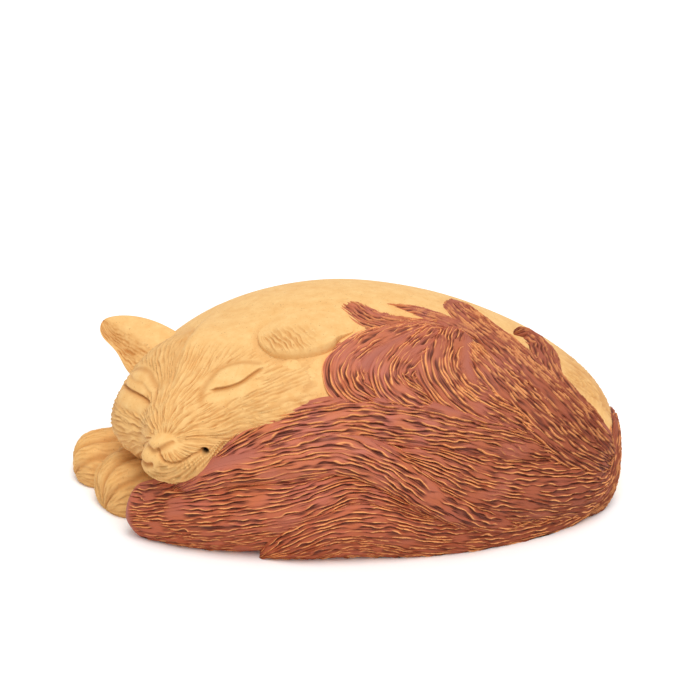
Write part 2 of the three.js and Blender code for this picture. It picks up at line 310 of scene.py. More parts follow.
# Gives a piece its clay and ties it to the model: it rides the one body and stands in for the nodes.
def place(piece, material, slot, *nodes):
    piece.data.materials.append(material)
    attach(piece, "root")
    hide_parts(*nodes)
    print("made", piece.name, len(piece.data.polygons), "faces")


# sRGB hex code to linear light: c / 12.92 in the darkest part, ((c + 0.055) / 1.055)^2.4 above it.
def hexToLinear(code):
    parts = [int(code[i:i + 2], 16) / 255 for i in (1, 3, 5)]
    return [c / 12.92 if c <= 0.04045 else ((c + 0.055) / 1.055) ** 2.4 for c in parts] + [1.0]


# Adds a node, sets its properties and fixed inputs, and links the inputs that come from other nodes.
def addNode(tree, kind, inputs=None, **settings):
    node = tree.nodes.new(kind)
    for setting, value in settings.items():
        setattr(node, setting, value)
    for socket, value in (inputs or {}).items():
        if isinstance(value, bpy.types.NodeSocket):
            tree.links.new(value, node.inputs[socket])
        else:
            node.inputs[socket].default_value = value
    return node


# An empty material and its tree.
def newMaterial(name):
    material = bpy.data.materials.new(name)
    material.use_nodes = True
    material.node_tree.nodes.clear()
    return material, material.node_tree


# Washes of colour laid over one another: each covers what is under it by its own share.
def layered(tree, colour, washes):
    for share, wash in washes:
        inputs = {"Factor": share, "A": colour, "B": hexToLinear(wash)}
        colour = addNode(tree, "ShaderNodeMix", inputs, data_type="RGBA").outputs["Result"]
    return colour


# Fired clay without a glaze: the colour on a rough, weakly shining surface, with the grit as a fine bump.
def finishClay(tree, spot, colour, look):
    grain = addNode(tree, "ShaderNodeTexNoise", {
        "Vector": spot, "Scale": 1 / (look["grainSize"] * mm), "Detail": 2.0})
    grit = addNode(tree, "ShaderNodeBump", {
        "Height": grain.outputs["Fac"], "Strength": 0.35, "Distance": 0.1 * mm})
    shader = addNode(tree, "ShaderNodeBsdfPrincipled", {
        "Base Color": colour, "Roughness": look["roughness"], "IOR": 1.5,
        "Specular IOR Level": look["specular"], "Normal": grit.outputs["Normal"]})
    addNode(tree, "ShaderNodeOutputMaterial", {"Surface": shader.outputs["BSDF"]})


# Buff stoneware: sanded clay, smoothed with a damp rib and fired unglazed. Matt and slightly chalky,
# with fine sand speckle and soft warm blotches from the kiln, painted shade that darkens and warms the clay
# towards the table, painted shade down in the strokes, lines and hollows, and near-black painted shade in the
# vent holes.
def buffStoneware():
    look = {"pale": "#E8BD7C", "deep": "#DEAA66", "paintedShade": "#B06C28", "speck": "#8C5E36",
            "hole": "#120C08", "lowShade": "#DFA355", "lowShadeTop": 30.0, "lowShadeShare": 0.35,
            "speckSize": 0.35, "blotchSize": 2.6, "grainSize": 0.22, "roughness": 0.74, "specular": 0.35}
    material, tree = newMaterial("unglazed_buff_stoneware")
    spot = addNode(tree, "ShaderNodeTexCoord").outputs["Object"]
    blotch = addNode(tree, "ShaderNodeTexNoise", {
        "Vector": spot, "Scale": 1 / (look["blotchSize"] * mm), "Detail": 5.0, "Roughness": 0.72})
    paler = addNode(tree, "ShaderNodeMapRange", {
        "Value": blotch.outputs["Fac"], "From Min": 0.32, "From Max": 0.68})
    height = addNode(tree, "ShaderNodeSeparateXYZ", {"Vector": spot}).outputs["Z"]
    # painted shade: the clay grows darker and warmer towards the table
    low = addNode(tree, "ShaderNodeMapRange", {
        "Value": height, "From Min": look["lowShadeTop"] * mm, "From Max": 2 * mm, "To Max": look["lowShadeShare"]})
    sand = addNode(tree, "ShaderNodeTexNoise", {
        "Vector": spot, "Scale": 1 / (look["speckSize"] * mm), "Detail": 1.0})
    speckled = addNode(tree, "ShaderNodeMapRange", {
        "Value": sand.outputs["Fac"], "From Min": 0.68, "From Max": 0.76, "To Max": 0.5})
    # painted shade down in strokes, cut lines and hollows, and on the sunken side of the forehead parting
    paintedShade = addNode(tree, "ShaderNodeAttribute", attribute_name="paintedShade")
    # near-black painted shade inside the vent holes
    hole = addNode(tree, "ShaderNodeAttribute", attribute_name="hole")
    colour = layered(tree, hexToLinear(look["deep"]), [
        (paler.outputs["Result"], look["pale"]),
        (low.outputs["Result"], look["lowShade"]),
        (speckled.outputs["Result"], look["speck"]),
        (paintedShade.outputs["Fac"], look["paintedShade"]),
        (hole.outputs["Fac"], look["hole"]),
    ])
    finishClay(tree, spot, colour, look)
    return material


# Red-brown slip over buff stoneware: brushed on, then carved and rubbed back, so the thin crests show
# orange clay and the flats keep the dusty purple-brown slip. The grooves get painted shade, and painted
# shade also darkens the slip towards the table and at the rump end.
def redSlip():
    look = {"slip": "#BC6B56", "warm": "#C26C43", "grooveShade": "#602815", "crest": "#F2A463", "bare": "#A65D4A",
            "lowShade": "#AC5028", "lowShadeTop": 24.0, "lowShadeShare": 0.8, "rumpShade": "#8E4325", "rumpShadeEnd": 46.0,
            "rumpShadeShare": 0.9, "blotchSize": 6.0, "grainSize": 0.2, "roughness": 0.66, "specular": 0.4}
    material, tree = newMaterial("carved_red_slip_stoneware")
    spot = addNode(tree, "ShaderNodeTexCoord").outputs["Object"]
    blotch = addNode(tree, "ShaderNodeTexNoise", {
        "Vector": spot, "Scale": 1 / (look["blotchSize"] * mm), "Detail": 3.0})
    warmer = addNode(tree, "ShaderNodeMapRange", {
        "Value": blotch.outputs["Fac"], "From Min": 0.35, "From Max": 0.65})
    position = addNode(tree, "ShaderNodeSeparateXYZ", {"Vector": spot})
    # painted shade: the slip grows darker and warmer towards the table
    low = addNode(tree, "ShaderNodeMapRange", {
        "Value": position.outputs["Z"], "From Min": look["lowShadeTop"] * mm, "From Max": 2 * mm,
        "To Max": look["lowShadeShare"]})
    # painted shade: the slip darkens towards the rump end
    rump = addNode(tree, "ShaderNodeMapRange", {
        "Value": position.outputs["X"], "From Min": 0, "From Max": look["rumpShadeEnd"] * mm,
        "To Max": look["rumpShadeShare"]})
    cut, bare, crest = (addNode(tree, "ShaderNodeAttribute", attribute_name=mark).outputs["Fac"]
                        for mark in ("deep", "bare", "crest"))
    # painted shade down in the carved grooves
    grooveShadeShare = addNode(tree, "ShaderNodeMapRange", {"Value": cut, "From Min": 0.5, "From Max": 0.95})
    rubbed = addNode(tree, "ShaderNodeMapRange", {"Value": crest, "From Min": 0.3, "From Max": 0.85})
    colour = layered(tree, hexToLinear(look["slip"]), [
        (warmer.outputs["Result"], look["warm"]),
        (low.outputs["Result"], look["lowShade"]),
        (rump.outputs["Result"], look["rumpShade"]),
        (grooveShadeShare.outputs["Result"], look["grooveShade"]),
        (bare, look["bare"]),
        (rubbed.outputs["Result"], look["crest"]),
    ])
    finishClay(tree, spot, colour, look)
    return material


buff = buffStoneware()
red = redSlip()
print("materials ready")


# Nearly the distance from an ellipsoid: (|p/r| - 1) |p/r| / |p/r²|.
def massDistance(points, centre, radii):
    scaled = (points - np.array(centre)) / np.array(radii)
    near = np.linalg.norm(scaled, axis=-1)
    slope = np.linalg.norm(scaled / np.array(radii), axis=-1)
    return near * (near - 1) / np.maximum(slope, 1e-6)


# Smooth union of two distances: the lower one, less k/4 where they are equal.
def blendInto(a, b, k):
    h = np.clip(0.5 + 0.5 * (b - a) / k, 0, 1)
    return b * (1 - h) + a * h - k * h * (1 - h)


# The same for the body's dome, whose half sizes differ from head to rump and from front to back.
def bodyDistance(points):
    points = np.stack([lessFull(points[..., 0]), points[..., 1], points[..., 2]], -1)
    end = bodyEnd(points[..., 0])
    depth = np.where(points[..., 1] < spineY, bodyAxes[1], bodyAxes[2])
    radii = np.stack([end, depth, np.full_like(end, bodyAxes[3])], -1)
    return massDistance(points, (0, spineY, middleHeight), radii)


# The head's own frame: x to the right cheek, -y out of the face, z to the crown.
headFrame = {"yaw": -35, "pitch": -40, "roll": -18, "along": -0.55, "around": 58, "faceDepth": 13}


# Turn about Z by yaw, then about X by pitch, then about Y by roll.
def turnMatrix(yaw, pitch, roll):
    y, p, r = np.radians([yaw, pitch, roll])
    aboutZ = np.array([[np.cos(y), -np.sin(y), 0], [np.sin(y), np.cos(y), 0], [0, 0, 1]])
    aboutX = np.array([[1, 0, 0], [0, np.cos(p), -np.sin(p)], [0, np.sin(p), np.cos(p)]])
    aboutY = np.array([[np.cos(r), 0, np.sin(r)], [0, 1, 0], [-np.sin(r), 0, np.cos(r)]])
    return aboutZ @ aboutX @ aboutY


headTurn = turnMatrix(headFrame["yaw"], headFrame["pitch"], headFrame["roll"])
headCentre = domePoint(np.array(headFrame["along"]), np.radians(headFrame["around"]), tailAxes)
headCentre = headCentre + headTurn[:, 1] * headFrame["faceDepth"]

# Masses of the head in its own frame: centre, half sizes and how softly each runs into the rest.
headMasses = [
    ((0, 1, 0), (20.5, 14.5, 14.5), 3),            # skull
    ((0.5, -9.5, -9), (8.5, 9, 8.5), 6),           # muzzle
    ((-10.8, -3.5, -4.6), (8.8, 8.8, 7.6), 4),     # left cheek
    ((12.5, -3, -6), (11.5, 9.5, 9), 4),           # right cheek
    ((0.1, -12.8, -16.0), (6.6, 4.8, 3.6), 3),     # chin
    ((-0.5, -17.0, -13.9), (2.7, 2.0, 1.5), 1.2),  # nose pad
    ((-2.9, -15.6, -15.4), (2.2, 1.9, 1.8), 0.7),  # left lip
]
headOverlap = 0.12  # the head's skin lies this far outside the body's, so the two don't flicker


# The head and the body as one soft form: the body's distance, then a smooth union with every mass.
def headDistance(points):
    local = (points - headCentre) @ headTurn
    whole = bodyDistance(points) + pawHollow(points) - bodySwell(points) - headOverlap
    for centre, radii, softness in headMasses:
        whole = blendInto(whole, massDistance(local, centre, radii), softness)
    return whole


# The back and flanks: rings of the dome from the top pole down to the foot, closed underneath. Hair is
# scored into the rump, and the skin sinks by underTail where the tail covers it.
def makeBody():
    body = {"rings": 190, "around": 360, "underTail": 1.0, "tailTop": (22, 12), "tailEnd": (0.955, 0.985),
            "hairDepth": 0.3, "hairPitch": 0.75, "hairReach": 3.2, "hairSeed": 7, "hairEnd": (0.72, 0.84),
            "hairFront": (60, 75), "hairBack": (190, 170)}
    fall = np.linspace(0, 1, body["rings"] + 1)[1:, None] * np.ones((1, body["around"]))
    heading = np.linspace(0, 2 * np.pi, body["around"], endpoint=False)[None, :] * np.ones_like(fall)
    polar = fall * (np.pi / 2 + np.arcsin(middleHeight / bodyAxes[3]))
    up = np.cos(polar)
    forward = -np.sin(polar) * np.sin(heading)
    depth = np.where(forward > 0, bodyAxes[1], bodyAxes[2])
    end = bodyEnd(np.cos(heading))
    points = np.stack([
        end * np.sin(polar) * np.cos(heading),
        spineY - depth * forward,
        middleHeight + bodyAxes[3] * up,
    ], -1)
    normal = domeNormal(points, bodyAxes)
    along, turn = domePlace(points, bodyAxes)
    around = np.degrees(turn)
    furred = smoothStep(*body["hairEnd"], along) * smoothStep(*body["hairFront"], around)
    furred = furred * smoothStep(*body["hairBack"], around)
    carved, _ = strands(along * 50, turn * 20, body["hairSeed"], body["hairPitch"], body["hairReach"])
    below = smoothStep(*body["tailTop"], around) * (turn > -np.pi / 2)
    hidden = np.maximum(below, smoothStep(*body["tailEnd"], along))
    lift = bodySwell(points) + body["hairDepth"] * carved * furred
    lift = lift - body["underTail"] * hidden - pawHollow(points)
    points = points + normal * lift[..., None]
    points[..., 0] = fuller(points[..., 0])
    points[..., 2] = np.maximum(points[..., 2], 0)
    top = np.array([0, spineY, middleHeight + bodyAxes[3]])
    foot = np.array([0, spineY, 0])
    # painted shade down in the hair scored into the rump
    piece = ringMesh("body", points, {"paintedShade": np.clip(-carved, 0, 1) * 0.6 * furred}, (top, foot))
    place(piece, buff, "buff_stoneware", "body_shell", "base_plate")


makeBody()


# Each lock is named for its node. Its path is (along, around, half width) on the dome, and its lift is its
# height as a share of the tail's clay, once or at its start, middle and end. taper is how far each end takes
# to reach full width, rubbed is how strongly its crests are rubbed back, and bare are smooth patches as
# (u, s, reach in u, reach in s), with u along the lock from 0 to 1 and s across it from -1 to 1.
tailLocks = {
    "tail_lower_front": {
        "seed": 11, "stations": 330, "across": 250, "lift": [0.95, 0.9, 0.5], "taper": [2.2, 8],
        "bare": [(0.0, 0, 0.034, 1.5)],
        "path": [(-0.77, -3, 5.5), (-0.72, -1.5, 7.2), (-0.62, 1.5, 8.6), (-0.53, 4, 9.6), (-0.32, 8, 9.8),
                 (-0.12, 12, 7.5), (0.05, 17, 5.5), (0.25, 10, 4), (0.46, 3, 3)]},
    "tail_bottom_leaf": {
        "seed": 23, "stations": 330, "across": 250, "lift": [1.1, 0.62, 0.5], "taper": [9, 8],
        "path": [(-0.30, -9, 3), (-0.17, -1, 7), (-0.03, 4, 9.2), (0.13, 4, 9.2), (0.32, -1, 8),
                 (0.53, -5, 6.5), (0.75, -7, 6), (0.93, -7, 6)]},
    "tail_middle_front": {
        "seed": 37, "stations": 360, "across": 170, "lift": [1.1, 1.25, 0.8], "taper": [8, 10],
        "bare": [(0.15, 0.55, 0.11, 0.4), (0.42, 0.8, 0.12, 0.3)],
        "path": [(-0.60, 14, 2), (-0.50, 19, 3.8), (-0.40, 22.5, 4.6), (-0.30, 24.5, 5.2), (-0.15, 27, 6),
                 (0, 28, 5.8), (0.17, 22, 5.8), (0.285, 15, 5.2), (0.44, 6, 4.4), (0.64, -4, 3.2)]},
    "tail_upper_front": {
        "seed": 41, "stations": 360, "across": 190, "lift": 1.15, "taper": [8, 12],
        "bare": [(0.62, 0.72, 0.3, 0.22), (0.12, -0.75, 0.08, 0.25)],
        "path": [(-0.47, 23.5, 1.5), (-0.40, 27.5, 3.2), (-0.32, 31.5, 4.3), (-0.24, 34.5, 5.3),
                 (-0.15, 36.5, 6), (-0.05, 37.8, 6.3), (0.05, 38.5, 6.5), (0.22, 37.5, 6.6),
                 (0.39, 35, 6), (0.56, 32, 5.2), (0.76, 27, 3)]},
    "tail_right_middle": {
        "seed": 59, "stations": 300, "across": 230, "lift": 0.98, "taper": [9, 6],
        "path": [(0.14, 29, 3), (0.32, 23, 7), (0.49, 17, 8.5), (0.67, 12, 9), (0.86, 8, 9.5),
                 (0.955, 9, 8)]},
    "tail_ridge": {
        "seed": 67, "stations": 260, "across": 200, "rubbed": 0.8, "lift": 1.05, "taper": [7, 6],
        "path": [(0.41, 74, 5), (0.51, 60, 8), (0.65, 45, 8.4), (0.81, 31, 7), (0.95, 19, 4.5)]},
    "tail_crest": {
        "seed": 71, "stations": 280, "across": 170, "rubbed": 0.7, "lift": 1.1, "taper": [4, 5],
        "path": [(0.385, 102, 3.8), (0.45, 91, 6.0), (0.57, 76, 7.2), (0.73, 58, 6.8), (0.9, 40, 5.8),
                 (0.965, 28, 4.5)]},
    "tail_curl_inner": {
        "seed": 83, "stations": 240, "across": 190, "lift": 1.0, "taper": [5, 6],
        "bare": [(0.3, 0.6, 0.25, 0.3)],
        "path": [(0.41, 82, 4), (0.37, 68, 8.0), (0.355, 57, 9.2), (0.42, 48, 8.2), (0.55, 42, 6.6),
                 (0.70, 36, 4)]},
    "tail_curl_middle": {
        "seed": 97, "stations": 230, "across": 140, "lift": 1.08, "taper": [5, 5],
        "bare": [(0.3, -0.5, 0.25, 0.25)],
        "path": [(0.345, 79, 2.6), (0.245, 68, 5.4), (0.17, 59, 6.8), (0.15, 52, 7), (0.20, 46, 5.8),
                 (0.32, 41, 3.4)]},
    "tail_curl_outer": {
        "seed": 103, "stations": 240, "across": 140, "lift": 1.12, "taper": [5, 5],
        "bare": [(0.5, 0.6, 0.2, 0.3)],
        "path": [(0.33, 81, 2.4), (0.205, 72, 5.2), (0.075, 64, 6.4), (0.01, 56, 6.4), (0.03, 48, 5.6),
                 (0.13, 42.5, 3.4)]},
    "tail_tip_left": {
        "seed": 113, "stations": 150, "across": 120, "rubbed": 0.6, "lift": 1.0, "taper": [2.5, 5],
        "path": [(0.0, 88, 3.6), (0.045, 82, 5), (0.10, 77, 6), (0.20, 75, 5.6), (0.38, 77, 3)]},
    "tail_tip_thin": {
        "seed": 127, "stations": 150, "across": 90, "rubbed": 0.6, "lift": 0.95, "taper": [5, 5],
        "path": [(0.14, 88, 0.8), (0.24, 86, 2.4), (0.34, 83, 3.6), (0.47, 76, 4)]},
    "tail_tip_hook": {
        "seed": 131, "stations": 220, "across": 130, "rubbed": 0.6, "lift": 1.0, "taper": [3, 6],
        "path": [(0.615, 90, 1.2), (0.665, 95, 3.0), (0.72, 89, 4.6), (0.725, 79, 4.8), (0.74, 69, 4.6),
                 (0.80, 58, 5), (0.88, 49, 4.8), (0.94, 40, 5)]},
    "tail_root": {
        "seed": 149, "stations": 220, "across": 130, "rubbed": 0.7, "lift": 0.85, "taper": [8, 8],
        "path": [(0.82, 186, 3.5), (0.93, 183, 4.5), (0.99, 165, 4.8), (0.993, 90, 4.4), (0.985, 34, 6),
                 (0.955, 0, 8.5), (0.86, -8, 7)]},
}
tailRelief = {
    "depth": 0.58, "pitch": 0.8, "reach": 4.4,  # of the strands
    "sink": 2.0,            # the edges and the underside lie this far below the body's skin
    "shoulder": 0.55,       # below 1, the section is fuller towards its edges
    "bluntness": 0.6,       # the lower, the blunter a lock's two ends
    "wornShare": 0.35,      # part of the carving that is lost where a lock is worn smooth
    "endLift": 0.35,        # part of the height that is left at a lock's tips
    "gather": 0.65,         # how much the strands crowd together where a lock narrows
    "footThin": 0.5, "footHeights": (12, -2),  # the locks thin towards the table
    "edge": (1.0, 0.9),     # the carving fades out at the very edges
    "tableGap": 0.05,
    "bottomPoints": 6, "fineness": 600,
}


# A lock: a section carried along its path on the dome. The section rises from below the body's skin at both
# edges to the lock's height in the middle, (1 - s²)^shoulder, and the strands are carved down into it.
def makeLock(name, lock):
    travelled, length, middle, halfWidth, aside = pathOverDome(
        lock["path"], tailAxes, tailRelief["fineness"], lock["stations"])
    aside /= np.linalg.norm(aside, axis=1, keepdims=True)
    fromStart = np.clip(travelled / lock["taper"][0], 0, 1)
    fromEnd = np.clip((length - travelled) / lock["taper"][1], 0, 1)
    blunt = tailRelief["bluntness"]
    halfWidth = halfWidth * (1 - (1 - fromStart) ** 2) ** blunt * (1 - (1 - fromEnd) ** 2) ** blunt

    s, onTop = roundSection(lock["across"], tailRelief["bottomPoints"], len(travelled))
    offset = s * halfWidth[:, None]
    flat = middle[:, None, :] + aside[:, None, :] * offset[..., None]
    along, turn = domePlace(flat, tailAxes)
    skin = domePoint(along, turn, bodyAxes)
    normal = domeNormal(skin, bodyAxes)
    clay = (normal ** 2 * np.stack([
        np.full(skin.shape[:2], tailClay[0]),
        np.where(normal[..., 1] < 0, tailClay[1], tailClay[2]),
        np.full(skin.shape[:2], tailClay[3])], -1)).sum(-1)
    arch = np.clip(1 - s ** 2, 0, None) ** tailRelief["shoulder"]
    tips = np.sqrt(fromStart * fromEnd)[:, None]
    lift = np.interp(travelled / length, [0, 0.5, 1], np.ones(3) * lock["lift"])[:, None]
    foot = 1 - tailRelief["footThin"] * smoothStep(*tailRelief["footHeights"], skin[..., 2])
    height = clay * lift * foot * (tailRelief["endLift"] + (1 - tailRelief["endLift"]) * tips)
    rise = np.where(onTop, height * arch - tailRelief["sink"] * (1 - arch), -tailRelief["sink"])

    gather = tailRelief["gather"]
    gathered = gather * halfWidth[:, None] + (1 - gather) * max(halfWidth)
    far = travelled[:, None] * np.ones_like(s)
    carved, crest = strands(far, s * gathered, lock["seed"], tailRelief["pitch"], tailRelief["reach"])
    worn = latticeNoise(far / 9, s * gathered / 4, lock["seed"] + 9)
    bare = tailRelief["wornShare"] * smoothStep(0.4, 0.7, worn)
    u = far / length
    for bareU, bareS, reachU, reachS in lock.get("bare", []):
        bare = np.maximum(bare, np.exp(-((u - bareU) / reachU) ** 4 - ((s - bareS) / reachS) ** 4))
    fur = np.where(onTop, 1 - bare, 0) * smoothStep(*tailRelief["edge"], np.abs(s))
    points = skin + normal * (rise + tailRelief["depth"] * carved * fur)[..., None]
    points[..., 0] = fuller(points[..., 0])
    points[..., 1] = np.maximum(points[..., 1], wholeLow[1] + 0.01)
    points[..., 2] = np.maximum(points[..., 2], tailRelief["tableGap"])
    crest = np.where(onTop, crest * fur * lock.get("rubbed", 1), 0)
    # painted shade: how far down in a carved groove each place lies
    deep = np.clip(-carved, 0, 1) * fur
    piece = ringMesh("carved_" + name, points, {"crest": crest, "bare": bare, "deep": deep})
    place(piece, red, "red_stoneware", name)


for lockName, lock in tailLocks.items():
    makeLock(lockName, lock)


# Lines of the face in the head's own frame, as (x, z), with how wide and how deep each is cut. A lid line
# drops sharply from the lid above and runs out softly below. lineShade is how dark the painted shade in the
# line is.
faceLines = {
    "right_eye": {
        "lid": True, "width": 0.36, "depth": 0.62,
        "points": [(7.5, -2.5), (9.8, -1.9), (11.7, -0.9), (12.9, 0.4), (14.3, 2.1)]},
    "left_eye": {
        "lid": True, "width": 0.36, "depth": 0.62,
        "points": [(-15.6, 0.8), (-14.6, 0.1), (-12.0, -1.3), (-9.6, -2.5), (-6.2, -4.6)]},
    "left_lid_fold": {
        "width": 0.4, "depth": 0.22,
        "points": [(-13.6, 2.2), (-11.6, 0.7), (-8.8, -0.6), (-6.6, -3.2)]},
    "right_lid_edge": {
        "width": 0.6, "depth": 0.35,
        "points": [(5.9, -5.4), (5.5, -3.1), (5.9, -0.8), (7.3, 2.0), (10.4, 3.3), (13.8, 3.5)]},
    "left_lid_edge": {
        "width": 0.6, "depth": 0.4,
        "points": [(-15.6, 2.4), (-13.9, 3.8), (-9.3, 2.6), (-7.0, 0.3), (-5.3, -2.0), (-4.6, -4.6)]},
    "nose_underside": {
        "width": 0.42, "depth": 0.5,
        "points": [(-3.4, -13.8), (-2.3, -14.7), (-1.2, -15.4), (0.6, -14.9), (2.2, -13.8)]},
    "mouth": {
        "width": 0.3, "depth": 0.55,
        "points": [(-0.6, -15.2), (0.2, -16.7), (1.0, -17.3), (2.4, -17.5), (4.0, -17.0), (6.1, -15.2),
                   (6.8, -14.2)]},
    "left_mouth": {
        "width": 0.4, "depth": 0.7,
        "points": [(-7.4, -13.4), (-5.8, -15.8), (-4.2, -17.3), (-2.4, -17.6)]},
    "ear_hollow": {
        "width": 1.0, "depth": 0.5, "lineShade": 0.2,
        "points": [(11.2, 11.5), (12.0, 8.5), (13.6, 6.0), (16.5, 4.2), (20, 3.4)]},
    "ruff_edge": {
        "width": 0.5, "depth": 0.35,
        "points": [(23.7, 4.7), (23.2, 3.0), (23.6, 0.2), (23.0, -1.7)]},
}
faceVents = [(6.5, -13.6, -14.5), (-8.4, -11.8, -13.0)]
# The chin starts below this line, as (x, z).
chinEdge = [(-7.4, -13.4), (-5.8, -15.8), (-4.2, -17.3), (-2.4, -17.6), (0.2, -16.7), (1.0, -17.3),
            (2.4, -17.5), (4.0, -17.0), (6.1, -15.2), (6.8, -14.2), (9.0, -12.0)]
faceParting = [(-0.4, -5), (-0.9, -0.7), (-1.7, 2.6), (-1.9, 5.6), (-2.0, 8.8), (-2.2, 11), (-4.2, 15.5),
               (-5, 20)]
# Smooth forms: centre (x, z), half sizes, turn in degrees and how far each is raised.
faceSwells = [
    ((10.2, 0.5), (5.6, 3.0), 28, 0.75),     # right upper lid
    ((10.9, -2.9), (5.2, 1.5), 25, 0.35),    # right lower lid
    ((-10.6, 0.9), (5.4, 2.9), -32, 0.65),   # left upper lid
    ((-11.6, -3.4), (5.0, 1.7), -30, 0.3),   # left lower lid
]
faceHair = {
    "depth": 0.36, "chinDepth": 1.6,    # the chin's waves are cut deeper by this factor
    "pitch": 0.85, "reach": 4.2, "seed": 211, "nose": (0.5, -13.5),  # the fan starts at the nose
    "chinPitch": 0.85, "chinReach": 3.5, "chinSeed": 251, "chinBow": 0.06,
}


# Distance in the face's plane from each place to a curve through points, and the side it lies on. The curve
# is taken as short straight steps, and the gap to each is |place - nearest place on the step|.
def curveDistance(x, z, points):
    curve = throughPoints(points, 60)
    best = np.full(x.shape, 1e9)
    side = np.zeros(x.shape)
    for (x0, z0), (x1, z1) in zip(curve[:-1], curve[1:]):
        dx, dz = x1 - x0, z1 - z0
        t = np.clip(((x - x0) * dx + (z - z0) * dz) / (dx * dx + dz * dz + 1e-12), 0, 1)
        gap = np.hypot(x - x0 - t * dx, z - z0 - t * dz)
        nearer = gap < best
        best = np.where(nearer, gap, best)
        side = np.where(nearer, np.sign(dx * (z - z0) - dz * (x - x0)), side)
    return best, side


# Fine hairs that fan out from the nose: strokes along the radius, their number doubling as the fan widens.
def fannedHair(x, z):
    dx, dz = x - faceHair["nose"][0], z - faceHair["nose"][1]
    radius = np.hypot(dx, dz)
    heading = np.arctan2(dx, dz)
    level = np.log2(np.clip(radius, 2.6, 60) / 5)
    carved = np.zeros(x.shape)
    for step in range(-1, 4):
        share = smoothStep(0.75, 0.25, np.abs(level - step))
        seed = faceHair["seed"] + 20 * step + 20
        layer, _ = strands(radius, heading * 5 * 2.0 ** step, seed, faceHair["pitch"], faceHair["reach"])
        carved += share * layer
    return carved


# The bare form of the head: along every ray from its middle, the outermost place where the blended masses
# end, held inside a ball so that the hidden back closes within the body. Gives the rays and their reaches.
def headRays(head):
    step = np.linspace(0, 1, head["rings"] + 2)[1:-1]
    polar = np.pi * (0.5 * step + 0.5 * step ** 4)
    heading = np.linspace(0, 2 * np.pi, head["around"], endpoint=False)
    pole = np.array(head["pole"])
    pole /= np.linalg.norm(pole)
    side = np.array([1.0, 0, 0])
    over = np.cross(side, pole)
    polar, heading = np.meshgrid(polar, heading, indexing="ij")
    aim = (pole * np.cos(polar)[..., None] + side * (np.sin(polar) * np.cos(heading))[..., None]
           + over * (np.sin(polar) * np.sin(heading))[..., None])
    aim = aim @ headTurn.T
    reach = np.full(polar.shape, 45.0)
    for _ in range(60):
        reach = np.maximum(reach - 0.8 * headDistance(headCentre + aim * reach[..., None]), 1)
    return aim, blendInto(reach, np.full_like(reach, head["hold"]), head["holdSoftness"])


# Lids, lines and the parting: a swell is raised * (1 - size²)^0.7 inside its oval, and a line is cut down
# by depth * exp(-(gap / width)²). Gives the lift, the hairless places, the painted shade in the lines and
# beside the parting, and the parting's side.
def faceRelief(x, z):
    lift = np.zeros(x.shape)
    smooth = np.zeros(x.shape)
    for (cx, cz), (halfX, halfZ), turn, raised in faceSwells:
        c, s = np.cos(np.radians(turn)), np.sin(np.radians(turn))
        u = ((x - cx) * c + (z - cz) * s) / halfX
        v = (-(x - cx) * s + (z - cz) * c) / halfZ
        size = np.hypot(u, v)
        lift += raised * np.clip(1 - size ** 2, 0, 1) ** 0.7
        smooth = np.maximum(smooth, smoothStep(1.12, 0.95, size))
    paintedShade = np.zeros(x.shape)
    for line in faceLines.values():
        gap, side = curveDistance(x, z, line["points"])
        under = (side < 0) if line.get("lid") else np.ones(x.shape, bool)
        width = line["width"] * (1.8 if line.get("lid") else 1)
        cut = np.exp(-(gap / np.where(under, width, 0.2)) ** 2)
        lift -= line["depth"] * cut
        # painted shade in each cut line
        paintedShade = np.maximum(paintedShade, cut * line.get("lineShade", min(1, line["depth"] * 1.3)))
    gap, side = curveDistance(x, z, faceParting)
    lift -= 0.3 * np.exp(-(gap / 0.7) ** 2) + np.where(side > 0, 0.8, -0.5) * np.exp(-(gap / 4.5) ** 2)
    # painted shade on the sunken side of the parting
    shadedSide = np.where(side > 0, 0.3, 0) * np.exp(-(gap / 6) ** 2) * smoothStep(-5, 3, z)
    noseArea = smoothStep(1.25, 0.9, np.hypot(x / 3.0, (z + 13.9) / 1.9))
    lipArea = smoothStep(1.25, 0.9, np.hypot((x + 3.2) / 3.2, (z + 15.8) / 2.4))
    return lift, np.maximum.reduce([smooth, noseArea, lipArea]), np.maximum(paintedShade, shadedSide), side


